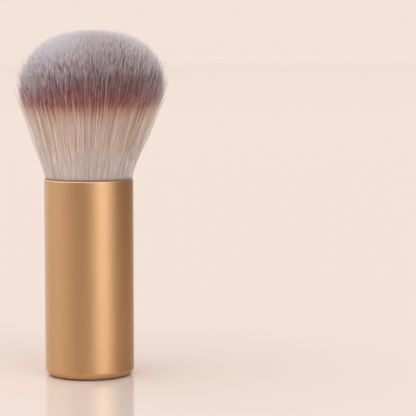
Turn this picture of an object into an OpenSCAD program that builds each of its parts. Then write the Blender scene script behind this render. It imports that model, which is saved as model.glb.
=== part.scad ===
// Short-handled powder brush: a deep-drawn metal cup for a handle, a moulded
// core that holds the bound and glued hair, and a domed tuft that bends.
// Origin at the centre of the base, +Z up, millimetres.

/* [Handle] */
// Outside diameter of the handle
handle_d = 23; // [20:0.5:30]
// Height of the handle, base to rim
handle_h = 51; // [49:0.5:70]
// Wall of the drawn cup
wall_t = 0.7; // [0.5:0.1:0.8]
// Floor of the drawn cup
floor_t = 0.9; // [0.6:0.1:1.1]
// Radius of the outer edge round the base
base_round = 2; // [1.6:0.1:2.4]

/* [Weight] */
// Thickness of the steel weight
weight_h = 6; // [4:0.5:8]
// Bevel on both edges of the weight
weight_bevel = 1.4; // [1.3:0.1:1.8]
// Thickness of the adhesive under the weight
weight_glue_t = 0.25; // [0.2:0.05:0.4]

/* [Core] */
// Depth of the core's top below the rim
core_drop = 5.5; // [5:0.5:6]
// Depth of the hair socket
socket_depth = 14.5; // [14.5:0.5:18]
// Thickness of the socket's side wall
socket_wall = 1.1; // [1:0.1:1.2]
// Thickness of the socket's floor
socket_floor = 2; // [1.5:0.5:3]
// Number of crush ribs round the core
rib_count = 8; // [6:1:12]
// Width of one crush rib
rib_w = 0.8; // [0.6:0.1:1.2]
// Thickness of the webs under the socket
web_t = 1.2; // [1:0.1:1.6]
// Height of the adhesive ring round the core
core_glue_h = 8; // [5:1:9]

/* [Binding] */
// Thickness of the binding thread
thread_d = 0.56; // [0.5:0.02:0.6]
// Number of turns of the binding thread
thread_turns = 5; // [3:1:5]

/* [Tuft] */
// Height of the tuft above the rim
tuft_h = 38.7; // [34:0.1:44]
// Widest diameter of the tuft
tuft_d = 39; // [36:0.1:44]
// Height of the widest place above the rim
tuft_wide_h = 23; // [20:0.5:25]
// Roundness of the dome: 2 is an ellipse, more is fuller
dome_power = 2.3; // [2:0.1:2.8]
// Depth below the rim of the point that the tuft bends about
bend_drop = 3; // [2.5:0.1:3.5]

/* [Hidden] */

$fn = 128;
BIG = 200;

// Fits: slip lies between a part and its seat, and bend_gap between the roots and the tuft
slip = 0.05;
bend_gap = 0.3;

// Handle
handle_r = handle_d / 2;
bore_r = handle_r - wall_t;
lip_r = wall_t / 2;
inner_round = base_round - wall_t;

// Weight, standing on its adhesive
weight_z = floor_t + weight_glue_t;
weight_r = bore_r - 0.4;
weight_glue_r = weight_r - weight_bevel;

// Core, standing on the weight
core_z = weight_z + weight_h;
core_top = handle_h - core_drop;
core_r = bore_r - 0.7;
collar_h = 3;
socket_r = core_r - socket_wall;
socket_z = core_top - socket_depth;
socket_bevel = 0.8;
cavity_r = core_r - 1.6;
hub_r = 2.2;
rib_top = socket_z - 1;
core_glue_top = core_top - collar_h - 1;

// Roots: cut ends in resin, a neck under the thread, then a flare that fills the mouth
resin_t = 3;
resin_creep = 2.5;
root_r = socket_r - 0.4;
root_z = socket_z + resin_t;
neck_r = root_r - 0.6;
neck_z = root_z + resin_creep + 1.1;
thread_pitch = thread_d + 0.04;
neck_h = thread_turns * thread_pitch + 0.2;
throat_r = socket_r - 0.1;
throat_z = core_top - socket_bevel + 0.2;
mouth_r = bore_r - 0.1;
mouth_z = handle_h - 2.5;

// Bending: the tuft's hollow and the roots' crown are spheres about one point inside the mouth
bend_z = handle_h - bend_drop;
hollow_r = norm([handle_r, bend_drop]) + 0.5;
crown_r = hollow_r - bend_gap;

// Tuft: a straight flare that eases into the widest place, and a superellipse dome on top
tuft_r = tuft_d / 2;
flare_r = handle_r - 0.15;
dome_h = tuft_h - tuft_wide_h;
ease_h = 3.7;
flare_slope = (tuft_r - flare_r) / (tuft_wide_h - ease_h / 2);
flare_top = tuft_wide_h - ease_h;
flare_top_r = flare_r + flare_slope * flare_top;
ease_steps = 5;
dome_steps = 28;

// Radius of the flare where it eases into the widest place, at height h above the rim
function ease_radius(h) =
    let (s = (h - flare_top) / ease_h)
    flare_top_r + flare_slope * ease_h * (s - s * s / 2);

// Point of the dome's outline at angle a above the widest place
function dome_point(a) = [
    tuft_r * pow(cos(a), 2 / dome_power),
    handle_h + tuft_wide_h + dome_h * pow(sin(a), 2 / dome_power)
];

// Filled outline of a round-bottomed cup: radius r, from z0 up to z1, corner radius c
module cup_outline(r, z0, z1, c) {
    translate([0, z0 + c]) square([r, z1 - z0 - c]);
    translate([0, z0]) square([r - c, c]);
    translate([r - c, z0 + c]) intersection() {
        circle(r = c);
        translate([0, -c]) square([c, c]);
    }
}

// Round bar standing on z = 0 with both edges bevelled
module bevelled_disc(r, h, bevel) {
    rotate_extrude() polygon([
        [0, 0], [r - bevel, 0], [r, bevel], [r, h - bevel], [r - bevel, h], [0, h]
    ]);
}

module ring(outer_r, inner_r, h) {
    difference() {
        cylinder(r = outer_r, h = h);
        translate([0, 0, -1]) cylinder(r = inner_r, h = h + 2);
    }
}

// Drawn aluminium cup: rounded base edge and a half-round lip at the mouth
module handle_shell() {
    color("#c0915f") rotate_extrude() {
        difference() {
            cup_outline(handle_r, 0, handle_h - lip_r, base_round);
            cup_outline(bore_r, floor_t, handle_h, inner_round);
        }
        translate([handle_r - lip_r, handle_h - lip_r]) circle(r = lip_r);
    }
}

// Layer of adhesive that holds the weight to the floor of the cup
module weight_adhesive() {
    color("#e6dcb4") translate([0, 0, floor_t])
        cylinder(r = weight_glue_r, h = weight_glue_t);
}

// Turned steel disc that makes the brush stand steadily
module base_weight() {
    color("#8d9196") translate([0, 0, weight_z])
        bevelled_disc(weight_r, weight_h, weight_bevel);
}

module crush_rib() {
    translate([core_r - 0.3, -rib_w / 2, core_z])
        cube([bore_r - slip - core_r + 0.3, rib_w, rib_top - core_z]);
}

// Space under the socket, left open at the bottom and crossed by two webs and a hub
module core_cavity() {
    difference() {
        translate([0, 0, core_z - 1])
            cylinder(r = cavity_r, h = socket_z - socket_floor - core_z + 1);
        for (turn = [0, 90])
            rotate([0, 0, turn]) translate([-BIG / 2, -web_t / 2, 0])
                cube([BIG, web_t, BIG]);
        cylinder(r = hub_r, h = BIG);
    }
}

// Moulded core: crush ribs and a collar centre it in the cup, and its socket takes the hair
module inner_core() {
    color("#e8e4dc") difference() {
        union() {
            translate([0, 0, core_z]) cylinder(r = core_r, h = core_top - core_z);
            translate([0, 0, core_top - collar_h])
                cylinder(r = bore_r - slip, h = collar_h);
            for (i = [0 : rib_count - 1])
                rotate([0, 0, i * 360 / rib_count]) crush_rib();
        }
        translate([0, 0, socket_z]) cylinder(r = socket_r, h = socket_depth + 1);
        translate([0, 0, core_top - socket_bevel])
            cylinder(r1 = socket_r, r2 = socket_r + socket_bevel, h = socket_bevel);
        core_cavity();
    }
}

// Ring of adhesive between the core and the wall of the cup
module core_adhesive() {
    color("#efe3a8") translate([0, 0, core_glue_top - core_glue_h])
        ring(bore_r, core_r, core_glue_h);
}

// Resin in the bottom of the socket, drawn up a little round the roots
module root_resin() {
    color("#d9b56c") translate([0, 0, socket_z]) {
        cylinder(r = socket_r, h = resin_t);
        translate([0, 0, resin_t - 0.01]) ring(socket_r, root_r, resin_creep);
    }
}

// Bundled roots of the hair, from the resin to the crown that stands above the mouth
module hair_roots() {
    color("#cbb9a8") intersection() {
        rotate_extrude() polygon([
            [0, root_z], [root_r, root_z],
            [root_r, neck_z - 0.4], [neck_r, neck_z],
            [neck_r, neck_z + neck_h], [throat_r, neck_z + neck_h + 0.8],
            [throat_r, throat_z], [mouth_r, mouth_z],
            [mouth_r, handle_h + hollow_r], [0, handle_h + hollow_r]
        ]);
        union() {
            translate([0, 0, bend_z]) sphere(r = crown_r);
            cylinder(r = mouth_r + 1, h = bend_z);
        }
    }
}

// Turns of thread that bind the roots at their neck
module binding_thread() {
    color("#f2efe8")
        for (i = [0 : thread_turns - 1])
            translate([0, 0, neck_z + 0.1 + (i + 0.5) * thread_pitch])
                rotate_extrude() translate([neck_r + thread_d / 2 + 0.02, 0])
                    circle(d = thread_d, $fn = 24);
}

// Outer form of the loose hair, hollowed underneath so that it turns over the crown
module hair_tuft() {
    ease = [
        for (i = [0 : ease_steps])
            let (h = flare_top + ease_h * i / ease_steps)
            [ease_radius(h), handle_h + h]
    ];
    dome = [for (i = [1 : dome_steps - 1]) dome_point(90 * i / dome_steps)];
    color("#c3aaa0") difference() {
        rotate_extrude() polygon(concat(
            [[0, handle_h], [flare_r, handle_h]], ease, dome, [[0, handle_h + tuft_h]]
        ));
        translate([0, 0, bend_z]) sphere(r = hollow_r);
    }
}

handle_shell();
weight_adhesive();
base_weight();
inner_core();
core_adhesive();
root_resin();
hair_roots();
binding_thread();
hair_tuft();
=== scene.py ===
import math
import bpy
import numpy as np
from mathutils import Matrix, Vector
from mathutils.kdtree import KDTree


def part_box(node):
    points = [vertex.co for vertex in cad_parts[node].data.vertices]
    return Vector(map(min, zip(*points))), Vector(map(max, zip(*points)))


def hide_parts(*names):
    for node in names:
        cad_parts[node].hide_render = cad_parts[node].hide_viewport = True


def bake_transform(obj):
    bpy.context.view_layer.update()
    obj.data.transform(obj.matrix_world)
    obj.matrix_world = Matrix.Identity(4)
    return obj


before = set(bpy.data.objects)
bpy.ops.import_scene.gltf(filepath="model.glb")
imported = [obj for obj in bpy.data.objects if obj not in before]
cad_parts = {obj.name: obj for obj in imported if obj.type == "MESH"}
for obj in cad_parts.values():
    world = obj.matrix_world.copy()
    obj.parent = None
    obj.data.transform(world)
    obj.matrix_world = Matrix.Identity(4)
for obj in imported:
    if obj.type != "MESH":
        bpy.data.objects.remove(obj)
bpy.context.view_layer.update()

MM = 0.001
WHITE = (1.0, 1.0, 1.0)

# Places and sizes from the frame, in metres
shell_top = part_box("handle_shell")[1]
roots_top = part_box("hair_roots")[1]
tuft_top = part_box("hair_tuft")[1]
RIM_Z = shell_top.z
HANDLE_R = shell_top.x
MOUTH_R = roots_top.x
TUFT_R = tuft_top.x
TUFT_H = tuft_top.z - RIM_Z

# Camera: looking slightly down on the brush, which stands left of the middle
CAMERA_DISTANCE = 430 * MM
CAMERA_SIDE = 30.8 * MM
CAMERA_HEIGHT = 82 * MM
AIM_HEIGHT = 43.36 * MM
FOCAL_LENGTH = 144.36
SENSOR_WIDTH = 36
NEAREST_SEEN = 0.01
FARTHEST_SEEN = 50


def make_camera():
    data = bpy.data.cameras.new("camera")
    data.lens = FOCAL_LENGTH
    data.sensor_width = SENSOR_WIDTH
    data.clip_start = NEAREST_SEEN
    data.clip_end = FARTHEST_SEEN
    camera = bpy.data.objects.new("camera", data)
    camera.location = (CAMERA_SIDE, -CAMERA_DISTANCE, CAMERA_HEIGHT)
    aim = Vector((CAMERA_SIDE, 0, AIM_HEIGHT))
    camera.rotation_euler = (aim - camera.location).to_track_quat("-Z", "Y").to_euler()
    bpy.context.scene.collection.objects.link(camera)
    bpy.context.scene.camera = camera


make_camera()


# Shader building
def new_material(name):
    """A material with a Principled shader and nothing else."""
    material = bpy.data.materials.new(name)
    material.use_nodes = True
    tree = material.node_tree
    tree.nodes.clear()
    shader = tree.nodes.new("ShaderNodeBsdfPrincipled")
    output = tree.nodes.new("ShaderNodeOutputMaterial")
    tree.links.new(shader.outputs["BSDF"], output.inputs["Surface"])
    return material, tree, shader


def feed(tree, socket, value):
    """Link an output to the socket, or set the socket to a plain value."""
    if isinstance(value, bpy.types.NodeSocket):
        tree.links.new(value, socket)
    else:
        socket.default_value = value


def number(tree, operation, *values):
    """The result of a Math node on outputs or plain numbers."""
    node = tree.nodes.new("ShaderNodeMath")
    node.operation = operation
    for socket, value in zip(node.inputs, values):
        feed(tree, socket, value)
    return node.outputs[0]


def mix_colours(tree, factor, first, second, blend="MIX"):
    node = tree.nodes.new("ShaderNodeMix")
    node.data_type = "RGBA"
    node.blend_type = blend
    feed(tree, node.inputs[0], factor)
    feed(tree, node.inputs[6], first)
    feed(tree, node.inputs[7], second)
    return node.outputs[2]


def ramp_of(tree, factor, stops):
    """A colour ramp over factor with (place, colour) stops."""
    ramp = tree.nodes.new("ShaderNodeValToRGB")
    elements = ramp.color_ramp.elements
    while len(elements) < len(stops):
        elements.new(0.5)
    for element, (place, colour) in zip(elements, stops):
        element.position = place
        element.color = (*colour, 1)
    tree.links.new(factor, ramp.inputs[0])
    return ramp.outputs[0]


def remap(tree, value, low, high, new_low=0.0, new_high=1.0):
    """Value taken from the range low to high into the range new_low to new_high."""
    node = tree.nodes.new("ShaderNodeMapRange")
    node.inputs["From Min"].default_value = low
    node.inputs["From Max"].default_value = high
    node.inputs["To Min"].default_value = new_low
    node.inputs["To Max"].default_value = new_high
    tree.links.new(value, node.inputs["Value"])
    return node.outputs[0]


def object_place(tree):
    return tree.nodes.new("ShaderNodeTexCoord").outputs["Object"]


def split_up(tree, vector):
    """The three components of a vector."""
    split = tree.nodes.new("ShaderNodeSeparateXYZ")
    tree.links.new(vector, split.inputs[0])
    return split.outputs


def noise_over(tree, vector, scale, stretch, detail):
    """Noise over a vector that is first stretched along each axis."""
    mapping = tree.nodes.new("ShaderNodeMapping")
    mapping.inputs["Scale"].default_value = stretch
    tree.links.new(vector, mapping.inputs["Vector"])
    noise = tree.nodes.new("ShaderNodeTexNoise")
    noise.inputs["Scale"].default_value = scale
    noise.inputs["Detail"].default_value = detail
    tree.links.new(mapping.outputs[0], noise.inputs["Vector"])
    return noise.outputs[0]


def noise_of(tree, size, stretch=(1, 1, 1), detail=3.0):
    """Noise fixed to the object, with features of about the given size in metres."""
    return noise_over(tree, object_place(tree), 1 / size, stretch, detail)


def rings_of(tree, pitch):
    """Concentric rings about Z at the given pitch, slightly uneven."""
    wave = tree.nodes.new("ShaderNodeTexWave")
    wave.wave_type = "RINGS"
    wave.rings_direction = "Z"
    wave.inputs["Scale"].default_value = 2 * math.pi / (20 * pitch)
    wave.inputs["Distortion"].default_value = 1.5
    tree.links.new(object_place(tree), wave.inputs["Vector"])
    return wave.outputs["Fac"]


def add_bump(tree, shader, height, depth, strength):
    node = tree.nodes.new("ShaderNodeBump")
    node.inputs["Strength"].default_value = strength
    node.inputs["Distance"].default_value = depth
    tree.links.new(height, node.inputs["Height"])
    tree.links.new(node.outputs[0], shader.inputs["Normal"])


def finish(name, colours, roughness, pattern, depth, strength=0.5, metallic=0.0):
    """A material whose colour, roughness and relief all follow the pattern that pattern(tree) makes."""
    material, tree, shader = new_material(name)
    value = pattern(tree)
    colour = ramp_of(tree, value, [(0.25, colours[0]), (0.75, colours[1])])
    tree.links.new(colour, shader.inputs["Base Color"])
    tree.links.new(remap(tree, value, 0.25, 0.75, *roughness), shader.inputs["Roughness"])
    add_bump(tree, shader, value, depth, strength)
    shader.inputs["Metallic"].default_value = metallic
    return material


# Materials of the CAD pieces
SHELL_DARK = (0.570, 0.308, 0.138)
SHELL_LIGHT = (0.600, 0.328, 0.150)
# Lighter gold for a painted highlight along the lip
SHELL_LIP_HIGHLIGHT = (0.68, 0.40, 0.20)
SHELL_ROUGHNESS = (0.335, 0.385)
LIP_HIGHLIGHT_WIDTH = 0.3 * MM
TONE_SIZE = 14 * MM
GRAIN_SIZE = 0.35 * MM
GRAIN_DEPTH = 0.01 * MM


def anodised():
    """Satin gold anodising: a fine blasted grain, a broad faint tone, and a painted highlight that
    lightens the lip.
    """
    material, tree, shader = new_material("anodised_gold")
    broad = noise_of(tree, TONE_SIZE, (1, 1, 0.3))
    tone = ramp_of(tree, broad, [(0.3, SHELL_DARK), (0.7, SHELL_LIGHT)])
    height = split_up(tree, object_place(tree))[2]
    # Painted highlight: over the top 0.3 mm of the shell below the rim, the colour fades to the lighter
    # gold
    lip_highlight_mask = remap(tree, height, RIM_Z - LIP_HIGHLIGHT_WIDTH, RIM_Z - 0.3 * LIP_HIGHLIGHT_WIDTH)
    tone_with_lip_highlight = mix_colours(tree, lip_highlight_mask, tone, (*SHELL_LIP_HIGHLIGHT, 1))
    tree.links.new(tone_with_lip_highlight, shader.inputs["Base Color"])
    grain = noise_of(tree, GRAIN_SIZE)
    tree.links.new(remap(tree, grain, 0.3, 0.7, *SHELL_ROUGHNESS), shader.inputs["Roughness"])
    add_bump(tree, shader, grain, GRAIN_DEPTH, 0.12)
    shader.inputs["Metallic"].default_value = 1
    shader.inputs["Coat Weight"].default_value = 0.15
    shader.inputs["Coat Roughness"].default_value = 0.25
    shader.inputs["Coat IOR"].default_value = 1.5
    return material


def put(node, material):
    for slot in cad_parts[node].material_slots:
        slot.material = material


put("handle_shell", anodised())
put("base_weight", finish(
    "turned_steel", ((0.42, 0.41, 0.40), (0.56, 0.55, 0.53)), (0.26, 0.42),
    lambda tree: rings_of(tree, 0.35 * MM), 0.02 * MM, metallic=1.0,
))
put("inner_core", finish(
    "moulded_plastic", ((0.70, 0.68, 0.63), (0.78, 0.76, 0.71)), (0.42, 0.56),
    lambda tree: noise_of(tree, 0.6 * MM), 0.03 * MM,
))
glue = finish(
    "set_adhesive", ((0.62, 0.50, 0.28), (0.74, 0.63, 0.40)), (0.18, 0.36),
    lambda tree: noise_of(tree, 2.5 * MM, detail=1.0), 0.15 * MM,
)
put("weight_adhesive", glue)
put("core_adhesive", glue)
put("root_resin", finish(
    "cast_resin", ((0.36, 0.22, 0.10), (0.48, 0.31, 0.16)), (0.12, 0.28),
    lambda tree: noise_of(tree, 1.8 * MM, detail=2.0), 0.1 * MM,
))
put("binding_thread", finish(
    "wound_thread", ((0.66, 0.62, 0.55), (0.86, 0.83, 0.77)), (0.62, 0.86),
    lambda tree: noise_of(tree, 0.22 * MM, (1, 1, 0.35)), 0.06 * MM, strength=0.8,
))

# Shape of the tuft. Heights are above the rim, and a strand's share is its place from the
# axis (0) to the outside (1).
HAIR_BOTTOM = -4 * MM
DENSE_R = TUFT_R - 1.15 * MM
CONE_R = HANDLE_R - 0.3 * MM
CONE_LOW = -5 * MM
CONE_HIGH = 42 * MM
FLARE_FROM = -0.4 * MM
FLARE_OVER = 1.6 * MM
SLOPE_HEIGHTS = [-10 * MM, 0, 20 * MM, 25 * MM, 60 * MM]
SLOPES = [0.21, 0.21, 0.44, 0.34, 0.34]
TRIM_FROM = 19 * MM
WIDE_H = 24 * MM
DOME_H = TUFT_H - WIDE_H - 0.1 * MM
DOME_POWER = 2.35
TUFT_LEAN = 0.04

# Locks and single strands
SEED = 7
LOCKS = 2600
LOCK_REACH = 8 * MM
FREE_OVER = 12 * MM
SWING = 0.22
TAPER_OVER = 7 * MM
OUTER_SHARE = 0.88

# Dye: the tone runs from 0 at the root over 0.4 cream, 0.5 russet, 0.6 wine and 0.8 lilac to 1 at a
# pale tip; the colour below about 0.12, at the rim, is a painted shadow where the hair meets the lip.
# Angles are round Z, with the front at -90 degrees. Toward the front right the tones are darker,
# partly the dye and partly painted shade.
LOW_FRONT = math.radians(-112)
DARKEST_DYE_AND_SHADE = math.radians(-52)
WINE_FROM = 21.5 * MM
TONE_HEIGHTS = [-6, 16.0, 18.4, 20.4, 22.8, 25.6]
TONES_BY_HEIGHT = [0.0, 0.40, 0.50, 0.56, 0.66, 1.0]
TIP_LENGTHS = [0, 1.0, 2.2, 4.0, 7.0, 11.0, 15.0]
TONES_BY_TIP = [1.0, 0.94, 0.80, 0.70, 0.60, 0.52, 0.42]
END_LENGTHS = [0, 1.2, 2.6]
TONES_OF_END = [0.92, 0.84, 0.0]
PALE_ENDS = 0.45
# Extra share of fair strands toward angles 0 and 180 degrees, the left and right: a painted sheen on the
# sides
PAINTED_SHEEN_SIDES = 0.5
CROWN_FROM = 28 * MM
CROWN_OVER = 7 * MM

# Map of the strands: columns for the shades, of which the last are those of the fair strands
HAIR_MAP = "OFBake"
SHADES = 200
FAIR_FROM = 0.8
SIDES = 3
SIDES_IN_COLUMN = np.array([0.28, 0.50, 0.72])


def smooth(value):
    """A smooth step over the range 0 to 1."""
    value = np.clip(value, 0, 1)
    return value * value * (3 - 2 * value)


CONE_HEIGHTS = np.linspace(CONE_LOW, CONE_HIGH, 200)
CONE_STEP = CONE_HEIGHTS[1] - CONE_HEIGHTS[0]
CONE_RADII = np.cumsum(np.interp(CONE_HEIGHTS, SLOPE_HEIGHTS, SLOPES) * CONE_STEP)
CONE_RADII += CONE_R - np.interp(0, CONE_HEIGHTS, CONE_RADII)


def spread(height):
    """Radius of the outermost strand at each height: upright in the mouth, then a widening cone."""
    cone = np.interp(height, CONE_HEIGHTS, CONE_RADII)
    return MOUTH_R + (cone - MOUTH_R) * smooth((height - FLARE_FROM) / FLARE_OVER)


def dome_radius(height):
    """Radius of the trimmed tuft at each height."""
    rise = np.clip((height - WIDE_H) / DOME_H, 0, 1)
    return DENSE_R * (1 - rise ** DOME_POWER) ** (1 / DOME_POWER)


def trim_table():
    """Shares, in rising order, and the height at which a strand of each meets the trimmed surface."""
    height = np.linspace(TRIM_FROM, WIDE_H + DOME_H, 400)
    share = dome_radius(height) / spread(height)
    return share[::-1], height[::-1]


TRIM_SHARE, TRIM_HEIGHT = trim_table()


def trimmed_height(share):
    return np.interp(share, TRIM_SHARE, TRIM_HEIGHT)


def band_shift(angle):
    """How far the dyed band is raised at each angle round the tuft: least near the front."""
    front = np.cos(angle - LOW_FRONT)
    ripple = np.sin(3 * angle + 1.0) + 0.7 * np.sin(7 * angle + 2.0) + 0.5 * np.sin(13 * angle)
    return (1.5 - 1.15 * front + 0.25 * ripple) * MM


def tip_scale(angle):
    """Scale of the lengths from the tip at which the tones change: most at the front right, which
    darkens it, partly the dye and partly painted shade.
    """
    return np.maximum(0.95 + 0.75 * np.cos(angle - DARKEST_DYE_AND_SHADE), 0.75)


def wine_scale(angle):
    """Scale of the heights above the russet, which widens the wine band: most at the front right, partly
    the dye and partly painted shade.
    """
    return np.maximum(1 + 0.65 * np.cos(angle - DARKEST_DYE_AND_SHADE), 0.8)


def tone_of_dye_and_shade(height, from_tip, dark, pale, wine):
    """Tone along a strand, from its height, its length from the tip, and the three scales of its dye and
    painted shade; the lowest tones, at the rim, take a painted shadow.
    """
    above = np.maximum(height - WINE_FROM, 0)
    drawn = height - above + above / wine
    by_height = np.interp(drawn / MM, TONE_HEIGHTS, TONES_BY_HEIGHT)
    by_tip = np.interp(from_tip * dark / MM, TIP_LENGTHS, TONES_BY_TIP)
    end = np.interp(from_tip / MM, END_LENGTHS, TONES_OF_END) * pale
    return np.maximum(np.minimum(by_height, by_tip), end)


def unit(vectors):
    """The vectors of a strands x rings x 3 array, each divided by its length."""
    return vectors / np.linalg.norm(vectors, axis=2, keepdims=True)


def tubes(name, paths, radii, shade, tone):
    """One mesh of closed three-sided tubes that end in a point: paths is strands x rings x 3."""
    count, rings, _ = paths.shape
    tangent = unit(np.gradient(paths, axis=1))
    turn = np.arctan2(paths[:, 0, 1], paths[:, 0, 0])
    fixed = np.stack([-np.sin(turn), np.cos(turn), np.zeros(count)], axis=1)[:, None, :]
    side = unit(fixed - tangent * np.sum(tangent * fixed, axis=2, keepdims=True))
    other = np.cross(tangent, side)
    body = rings - 1
    corners = np.arange(SIDES) * 2 * np.pi / SIDES
    ring = (
        np.cos(corners)[None, None, :, None] * side[:, :body, None, :]
        + np.sin(corners)[None, None, :, None] * other[:, :body, None, :]
    )
    points = paths[:, :body, None, :] + ring * radii[:, :body, None, None]
    points = np.concatenate([points.reshape(count, body * SIDES, 3), paths[:, -1:, :]], axis=1)
    per = body * SIDES + 1
    last = (body - 1) * SIDES
    following = [(j + 1) % SIDES for j in range(SIDES)]
    quads = np.array([
        (k + j, k + following[j], k + SIDES + following[j], k + SIDES + j)
        for k in range(0, last, SIDES) for j in range(SIDES)
    ])
    point = [(last + j, last + following[j], per - 1) for j in range(SIDES)]
    tris = np.array(point + [(2, 1, 0)])
    offset = (np.arange(count) * per)[:, None, None]
    all_quads = (quads[None] + offset).reshape(-1, 4)
    all_tris = (tris[None] + offset).reshape(-1, 3)
    loops = np.concatenate([all_quads.ravel(), all_tris.ravel()])
    starts = np.concatenate([
        np.arange(len(all_quads)) * 4,
        len(all_quads) * 4 + np.arange(len(all_tris)) * 3,
    ])
    mesh = bpy.data.meshes.new(name)
    mesh.vertices.add(count * per)
    mesh.vertices.foreach_set("co", points.astype(np.float32).ravel())
    mesh.loops.add(len(loops))
    mesh.loops.foreach_set("vertex_index", loops.astype(np.int32))
    mesh.polygons.add(len(starts))
    mesh.polygons.foreach_set("loop_start", starts.astype(np.int32))
    mesh.update(calc_edges=True)
    mesh.validate()
    mesh.shade_smooth()
    # On the map, across is the shade's column and up is the tone
    across = (shade[:, None, None] + SIDES_IN_COLUMN) / SHADES * np.ones((1, body, 1))
    up = tone[:, :body, None] * np.ones((1, 1, SIDES))
    uv = np.stack([across, up], axis=3).reshape(count, body * SIDES, 2)
    tip = np.stack([(shade + 0.5) / SHADES, tone[:, -1]], axis=1)[:, None, :]
    uv = np.concatenate([uv, tip], axis=1).reshape(-1, 2)
    layer = mesh.uv_layers.new(name=HAIR_MAP)
    layer.data.foreach_set("uv", uv[loops].astype(np.float32).ravel())
    piece = bpy.data.objects.new(name, mesh)
    bpy.context.scene.collection.objects.link(piece)
    return piece


def nearest(points, centres):
    """Index of the nearest centre to each point, both in the plane."""
    tree = KDTree(len(centres))
    for i, (x, y) in enumerate(centres):
        tree.insert((x, y, 0), i)
    tree.balance()
    return np.array([tree.find((x, y, 0))[1] for x, y in points])


def on_circle(radius, angle):
    return np.stack([radius * np.cos(angle), radius * np.sin(angle)], axis=1)


def add_hair(
    name, share, change, thickness, length, rings, loose, gather, out=0.0, fair=0.0, blunt=0.22
):
    """One piece of strands at the given shares, added to the list of hair.

    change: how far each strand's tip stands past the trimmed surface
    thickness: each strand's radius, of which its tip keeps the part that blunt gives
    length, rings: of the modelled strand, which never starts below HAIR_BOTTOM
    loose: how far strands stray
    gather: how far the ends of a lock close up
    out: how far the ends stand off the tuft
    fair: the share of fair strands at the front and back
    """
    count = len(share)
    angle = rng.uniform(0, 2 * np.pi, count)
    top = trimmed_height(share) + change
    bottom = np.maximum(top - length, HAIR_BOTTOM)
    steps = np.linspace(0, 1, rings)[None, :]
    height = bottom[:, None] + (top - bottom)[:, None] * steps
    from_tip = top[:, None] - height
    free = smooth(height / FREE_OVER)
    # Each strand leans toward the middle of the lock that it is nearest to
    root = on_circle(share, angle)
    lock_count = max(1, int(LOCKS * np.ptp(share ** 2)))
    lock_share = np.sqrt(rng.uniform(share.min() ** 2, share.max() ** 2, lock_count))
    centres = on_circle(lock_share, rng.uniform(0, 2 * np.pi, lock_count))
    lock = nearest(root, centres)
    pull = gather * rng.uniform(0.3, 1.3, lock_count)[lock][:, None]
    pull = pull * smooth(1 - from_tip / LOCK_REACH)
    place = root[:, None, :] + (centres[lock] - root)[:, None, :] * pull[:, :, None]
    place = place * spread(height)[:, :, None]
    # It strays from there, the more the farther it is from the rim
    bend = rng.normal(0, 1, (count, 1, 2)) * loose * free[:, :, None] ** 1.5
    phase = rng.uniform(0, 2 * np.pi, (count, 1, 2))
    turns = rng.uniform(0.5, 1.5, (count, 1, 2))
    swing = np.sin(phase + turns * 2 * np.pi * steps[:, :, None]) * SWING * loose * free[:, :, None]
    push = on_circle(1, angle)[:, None, :] * (np.ones(count) * out)[:, None, None] * free[:, :, None]
    place = place + bend + swing + push
    x = place[:, :, 0] + TUFT_LEAN * height * free
    paths = np.stack([x, place[:, :, 1], height + RIM_Z], axis=2)
    taper = blunt + (1 - blunt) * np.clip(from_tip / TAPER_OVER, 0, 1) ** 0.7
    # Its dye: where the band stands, how far the tones reach from the tip (darker toward the front
    # right, partly painted shade), and its shade
    lift = rng.normal(0, 0.6, lock_count)[lock] + rng.normal(0, 0.7, count)
    lift = band_shift(angle) + lift * MM
    pale = (rng.random(count) < PALE_ENDS)[:, None]
    crown = smooth((top - CROWN_FROM) / CROWN_OVER)[:, None]
    uneven = 1 - 0.8 * crown[:, 0]
    uneven = uneven * (rng.normal(0, 0.35, lock_count)[lock] + rng.normal(0, 0.25, count))
    dark = (tip_scale(angle) * np.exp(uneven))[:, None] * (1 - 0.25 * crown)
    wine = wine_scale(angle)[:, None]
    # The lift fades out toward the rim, so the painted shadow at the rim stays level on every strand
    tone = tone_of_dye_and_shade(height - lift[:, None] * free, from_tip, dark, pale, wine)
    mixed = 0.25 * rng.random(lock_count)[lock] + 0.75 * rng.random(count)
    # Painted sheen: more fair strands toward the left and right sides
    fair_and_sheen_share = fair + (1 - fair) * PAINTED_SHEEN_SIDES * np.cos(angle) ** 4
    is_fair = rng.random(count) < fair_and_sheen_share
    mixed = np.where(is_fair, FAIR_FROM + (1 - FAIR_FROM) * mixed, FAIR_FROM * mixed)
    shade = np.minimum((mixed * SHADES).astype(int), SHADES - 1)
    piece = tubes(name, paths, thickness[:, None] * taper, shade, tone)
    piece.data.materials.append(filaments)
    hair.append(piece)


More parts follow.
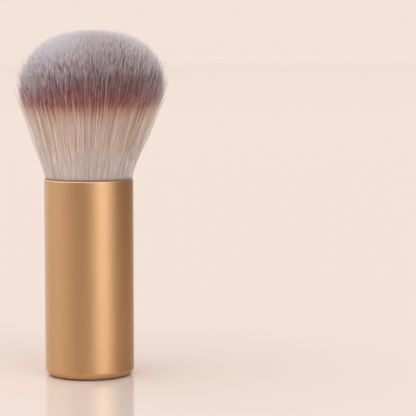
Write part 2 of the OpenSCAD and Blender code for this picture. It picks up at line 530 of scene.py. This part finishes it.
DYE_AND_RIM_SHADOW = [
    # Up to tone 0.110, at the rim and inside the mouth, the colour is a painted shadow where the hair
    # meets the lip; it is gone by 0.121
    (0.110, (0.26, 0.19, 0.16)),
    (0.121, (0.62, 0.50, 0.45)),
    (0.16, (0.72, 0.575, 0.505)),
    (0.24, (0.83, 0.66, 0.55)),
    (0.36, (0.86, 0.645, 0.52)),
    (0.43, (0.79, 0.49, 0.355)),
    (0.50, (0.55, 0.205, 0.13)),
    (0.57, (0.37, 0.088, 0.066)),
    (0.68, (0.19, 0.050, 0.053)),
    (0.80, (0.34, 0.200, 0.205)),
    (0.92, (0.50, 0.425, 0.420)),
    (1.00, (0.555, 0.495, 0.480)),
]
FAIR_WITH_RIM_SHADOW = [
    # Up to tone 0.110, at the rim and inside the mouth, the colour is a painted shadow where the hair
    # meets the lip; it is gone by 0.121
    (0.110, (0.28, 0.21, 0.18)),
    (0.121, (0.65, 0.55, 0.51)),
    (0.16, (0.74, 0.63, 0.58)),
    (0.24, (0.83, 0.70, 0.625)),
    (0.40, (0.85, 0.72, 0.64)),
    (0.50, (0.68, 0.52, 0.46)),
    (0.62, (0.58, 0.45, 0.43)),
    (0.80, (0.62, 0.54, 0.53)),
    (1.00, (0.68, 0.62, 0.60)),
]
SHADE_AT_ROOT = 0.10
SHADE_ADDED_AT_TIP = 0.30
CUTICLE_ROWS = 60


def hair_material():
    """Colour from the strand map: the dyed bands along each strand, a painted shadow at its root by the
    rim, and its own shade.
    """
    material, tree, shader = new_material("filaments")
    uv = tree.nodes.new("ShaderNodeUVMap")
    uv.uv_map = HAIR_MAP
    column, tone, _ = split_up(tree, uv.outputs[0])
    fair = number(tree, "GREATER_THAN", column, FAIR_FROM)
    colour = mix_colours(tree, fair, ramp_of(tree, tone, DYE_AND_RIM_SHADOW), ramp_of(tree, tone, FAIR_WITH_RIM_SHADOW))
    in_range = number(tree, "FRACT", number(tree, "DIVIDE", column, FAIR_FROM))
    range_of_shades = number(tree, "MULTIPLY", tone, SHADE_ADDED_AT_TIP)
    range_of_shades = number(tree, "ADD", range_of_shades, SHADE_AT_ROOT)
    bright = number(tree, "MULTIPLY", number(tree, "SUBTRACT", in_range, 0.5), range_of_shades)
    bright = number(tree, "ADD", bright, 1.0)
    shaded = mix_colours(tree, 1, colour, bright, "MULTIPLY")
    tree.links.new(shaded, shader.inputs["Base Color"])
    tree.links.new(remap(tree, tone, 0, 1, 0.46, 0.56), shader.inputs["Roughness"])
    cuticle = noise_over(tree, uv.outputs[0], 1, (SHADES, CUTICLE_ROWS, 1), 2.0)
    add_bump(tree, shader, cuticle, 0.01 * MM, 0.2)
    return material


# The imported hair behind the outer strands, as one solid piece
CORE_DEPTH = 1.9 * MM
FLARE_DEPTH = 0.65 * MM
FLARE_TOP = 12 * MM
CORE_FULL_DEPTH_FROM = 18 * MM
CORE_SIDE_TOP = 20 * MM
CORE_SEGMENTS = 96
CORE_TONES_FROM = -6 * MM
CORE_TONES_TO = 38 * MM
CORE_COLOURS = [
    (0.00, (0.84, 0.69, 0.62)),
    (0.46, (0.86, 0.66, 0.54)),
    (0.55, (0.20, 0.06, 0.04)),
    (0.62, (0.08, 0.024, 0.026)),
    (0.75, (0.12, 0.06, 0.07)),
    (0.88, (0.34, 0.28, 0.30)),
    (1.00, (0.46, 0.41, 0.42)),
]


def core_material():
    """The same bands by height, with fine upright relief."""
    material, tree, shader = new_material("inner_hair")
    height = split_up(tree, object_place(tree))[2]
    height = remap(tree, height, RIM_Z + CORE_TONES_FROM, RIM_Z + CORE_TONES_TO)
    tree.links.new(ramp_of(tree, height, CORE_COLOURS), shader.inputs["Base Color"])
    strands = noise_of(tree, 0.3 * MM, (1, 1, 0.06))
    tree.links.new(remap(tree, strands, 0.3, 0.7, 0.7, 0.9), shader.inputs["Roughness"])
    add_bump(tree, shader, strands, 0.1 * MM, 0.6)
    return material


def lathe(name, outline, segments, material):
    """A closed surface of revolution about Z from (radius, z) points that start and end on the axis."""
    outline = np.array(outline)
    angles = np.arange(segments) * 2 * np.pi / segments
    rows = outline[1:-1]
    ring = np.stack([
        rows[:, None, 0] * np.cos(angles),
        rows[:, None, 0] * np.sin(angles),
        rows[:, None, 1] * np.ones(segments),
    ], axis=2).reshape(-1, 3)
    points = [tuple(p) for p in ring] + [(0, 0, outline[0, 1]), (0, 0, outline[-1, 1])]
    first_pole = len(ring)
    last_row = first_pole - segments
    faces = []
    for row in range(0, last_row, segments):
        above = row + segments
        for j in range(segments):
            k = (j + 1) % segments
            faces.append((row + j, row + k, above + k, above + j))
    for j in range(segments):
        k = (j + 1) % segments
        faces.append((first_pole, k, j))
        faces.append((first_pole + 1, last_row + j, last_row + k))
    mesh = bpy.data.meshes.new(name)
    mesh.from_pydata(points, [], faces)
    mesh.shade_smooth()
    mesh.materials.append(material)
    piece = bpy.data.objects.new(name, mesh)
    bpy.context.scene.collection.objects.link(piece)
    return piece


def make_core():
    heights = np.append(np.linspace(HAIR_BOTTOM, CORE_SIDE_TOP, 20), WIDE_H)
    depth = np.interp(heights, [FLARE_TOP, CORE_FULL_DEPTH_FROM], [FLARE_DEPTH, CORE_DEPTH])
    side = [(min(spread(h), DENSE_R) - d, RIM_Z + h) for h, d in zip(heights, depth)]
    turn = np.linspace(0, np.pi / 2, 16)[1:]
    dome = [
        (
            (DENSE_R - CORE_DEPTH) * math.cos(a) ** (2 / DOME_POWER),
            RIM_Z + WIDE_H + (DOME_H - CORE_DEPTH) * math.sin(a) ** (2 / DOME_POWER),
        )
        for a in turn
    ]
    dome[-1] = (0, dome[-1][1])
    outline = [(0, RIM_Z + HAIR_BOTTOM)] + side + dome
    return lathe("hair_core", outline, CORE_SEGMENTS, core_material())


# Strands: those on the outside at full length, those that end in the dome, and a loose fringe
OUTER_PIECES = 4
OUTER_STRANDS = 3000
DOME_PIECES = 3
DOME_STRANDS = 6500
FRINGE_STRANDS = 2600
FULL_LENGTH = 60 * MM
DOME_LENGTH = 11 * MM

filaments = hair_material()
hair = []
rng = np.random.default_rng(SEED)
for part in range(OUTER_PIECES):
    add_hair(
        f"hair_outer_{part + 1}",
        np.sqrt(rng.uniform(OUTER_SHARE ** 2, 1, OUTER_STRANDS)),
        -np.abs(rng.normal(0, 0.9, OUTER_STRANDS)) * MM,
        rng.uniform(0.048, 0.072, OUTER_STRANDS) * MM,
        FULL_LENGTH, 11, loose=0.16 * MM, gather=0.06,
    )
for part in range(DOME_PIECES):
    add_hair(
        f"hair_dome_{part + 1}",
        OUTER_SHARE * np.sqrt(rng.random(DOME_STRANDS)),
        -np.abs(rng.normal(0, 0.45, DOME_STRANDS)) * MM,
        rng.uniform(0.055, 0.085, DOME_STRANDS) * MM,
        DOME_LENGTH, 6, loose=0.35 * MM, gather=0.55, blunt=0.5,
    )
# The fringe's fair strands are partly pale strands and partly a painted sheen where the fringe lines the
# silhouette
add_hair(
    "hair_fringe",
    rng.uniform(0.80, 1.0, FRINGE_STRANDS),
    rng.normal(-0.2, 1.3, FRINGE_STRANDS) * MM,
    rng.uniform(0.03, 0.048, FRINGE_STRANDS) * MM,
    FULL_LENGTH, 12, loose=0.3 * MM, gather=0.2,
    out=rng.uniform(0, 1, FRINGE_STRANDS) ** 1.4 * 1.3 * MM, fair=0.45,
)
core = make_core()
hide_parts("hair_tuft", "hair_roots")
for piece in hair + [core]:
    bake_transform(piece)


# Stage: a pale peach floor that runs to the horizon under a soft studio sky of the same colour
BACKDROP = (0.905, 0.767, 0.694)
FLOOR_SIDE = 30.0
FLOOR_COLOUR = (0.592, 0.489, 0.428)
FLOOR_ROUGHNESS = 0.08
FLOOR_IOR = 1.5
MOST_GLOSS = 0.3
WARM = (1.0, 0.86, 0.76)
COOL = (0.94, 1.07, 1.24)
AMBIENT = 0.015
OVERHEAD = 1.2
OVERHEAD_POWER = 2.5
# Soft panels: azimuth, half-width, elevation of the middle and half-height in degrees, strength, tint
PANELS = [
    (40, 17.5, 0, 40, 2.5, COOL),
    (-88, 34, 0, 45, 1.1, COOL),
    (-35, 60, 48, 14, 2.2, WHITE),
    (142, 12, 0, 60, 0.1, WHITE),
    (-142, 12, 0, 60, 0.9, WHITE),
]
# The backdrop's own patch of sky: its edge round the far side, and its edge upward in degrees
BEHIND_FADE = (0.86, 0.95)
BEHIND_TOP = (50, 30)


def floor_material():
    """Diffuse with a gloss that grows at grazing angles, held back where the camera sees it directly."""
    material = bpy.data.materials.new("floor")
    material.use_nodes = True
    tree = material.node_tree
    nodes = tree.nodes
    nodes.clear()
    matt = nodes.new("ShaderNodeBsdfDiffuse")
    matt.inputs["Color"].default_value = (*FLOOR_COLOUR, 1)
    gloss = nodes.new("ShaderNodeBsdfGlossy")
    gloss.inputs["Color"].default_value = (*WHITE, 1)
    gloss.inputs["Roughness"].default_value = FLOOR_ROUGHNESS
    fresnel = nodes.new("ShaderNodeFresnel")
    fresnel.inputs["IOR"].default_value = FLOOR_IOR
    path = nodes.new("ShaderNodeLightPath")
    limit = remap(tree, path.outputs["Is Camera Ray"], 0, 1, 1, MOST_GLOSS)
    mix = nodes.new("ShaderNodeMixShader")
    feed(tree, mix.inputs["Fac"], number(tree, "MINIMUM", fresnel.outputs[0], limit))
    feed(tree, mix.inputs[1], matt.outputs[0])
    feed(tree, mix.inputs[2], gloss.outputs[0])
    output = nodes.new("ShaderNodeOutputMaterial")
    feed(tree, output.inputs["Surface"], mix.outputs[0])
    return material


def make_floor():
    s = FLOOR_SIDE
    mesh = bpy.data.meshes.new("floor")
    mesh.from_pydata([(-s, -s, 0), (s, -s, 0), (s, s, 0), (-s, s, 0)], [], [(0, 1, 2, 3)])
    mesh.materials.append(floor_material())
    floor = bpy.data.objects.new("floor", mesh)
    bpy.context.scene.collection.objects.link(floor)


def make_world():
    world = bpy.data.worlds.new("studio")
    bpy.context.scene.world = world
    world.use_nodes = True
    tree = world.node_tree
    nodes = tree.nodes
    nodes.clear()

    def vector(operation, *values):
        node = nodes.new("ShaderNodeVectorMath")
        node.operation = operation
        for socket, value in zip(node.inputs, values):
            feed(tree, socket, value)
        return node.outputs["Value"] if operation == "DOT_PRODUCT" else node.outputs[0]

    def tinted(colour, amount):
        node = nodes.new("ShaderNodeVectorMath")
        node.operation = "SCALE"
        feed(tree, node.inputs[0], colour)
        feed(tree, node.inputs["Scale"], amount)
        return node.outputs[0]

    def step(value, off, on):
        """A smooth step from 0 at off to 1 at on."""
        node = nodes.new("ShaderNodeMapRange")
        node.interpolation_type = "SMOOTHSTEP"
        node.inputs["From Min"].default_value = off
        node.inputs["From Max"].default_value = on
        feed(tree, node.inputs["Value"], value)
        return node.outputs[0]

    direction = nodes.new("ShaderNodeTexCoord").outputs["Generated"]
    level = vector("NORMALIZE", vector("MULTIPLY", direction, (1, 1, 0)))
    up = number(tree, "MAXIMUM", split_up(tree, direction)[2], 0.0)
    elevation = number(tree, "ARCSINE", up)

    def toward(azimuth):
        """Cosine of the angle, seen from above, between the direction and an azimuth."""
        a = math.radians(azimuth)
        return vector("DOT_PRODUCT", level, (math.sin(a), -math.cos(a), 0))

    def panel(azimuth, width, middle, height):
        """Brightness of a soft-edged panel, 1 in its middle."""
        across = number(tree, "SUBTRACT", toward(azimuth), 1.0)
        across = number(tree, "MULTIPLY", across, 1 / math.radians(width) ** 2)
        along = number(tree, "SUBTRACT", elevation, math.radians(middle))
        along = number(tree, "MULTIPLY", along, along)
        along = number(tree, "MULTIPLY", along, -0.5 / math.radians(height) ** 2)
        return number(tree, "EXPONENT", number(tree, "ADD", across, along))

    overhead = number(tree, "POWER", up, OVERHEAD_POWER)
    light = tinted(WHITE, number(tree, "MULTIPLY", overhead, OVERHEAD))
    light = vector("ADD", light, tuple(AMBIENT * part for part in WARM))
    for *shape, strength, tint in PANELS:
        light = vector("ADD", light, tinted(tint, number(tree, "MULTIPLY", panel(*shape), strength)))
    low = step(up, *(math.sin(math.radians(edge)) for edge in BEHIND_TOP))
    behind = number(tree, "MULTIPLY", step(toward(180), *BEHIND_FADE), low)
    mix = nodes.new("ShaderNodeMix")
    mix.data_type = "VECTOR"
    feed(tree, mix.inputs[0], behind)
    feed(tree, mix.inputs[4], light)
    feed(tree, mix.inputs[5], BACKDROP)

    # The camera sees the plain backdrop, and everything else is lit by the sky
    sky = nodes.new("ShaderNodeBackground")
    feed(tree, sky.inputs["Color"], mix.outputs[1])
    seen = nodes.new("ShaderNodeBackground")
    feed(tree, seen.inputs["Color"], (*BACKDROP, 1))
    path = nodes.new("ShaderNodeLightPath")
    choose = nodes.new("ShaderNodeMixShader")
    feed(tree, choose.inputs["Fac"], path.outputs["Is Camera Ray"])
    feed(tree, choose.inputs[1], sky.outputs[0])
    feed(tree, choose.inputs[2], seen.outputs[0])
    output = nodes.new("ShaderNodeOutputWorld")
    feed(tree, output.inputs["Surface"], choose.outputs[0])


make_floor()
make_world()
bpy.context.scene.view_settings.view_transform = "Standard"
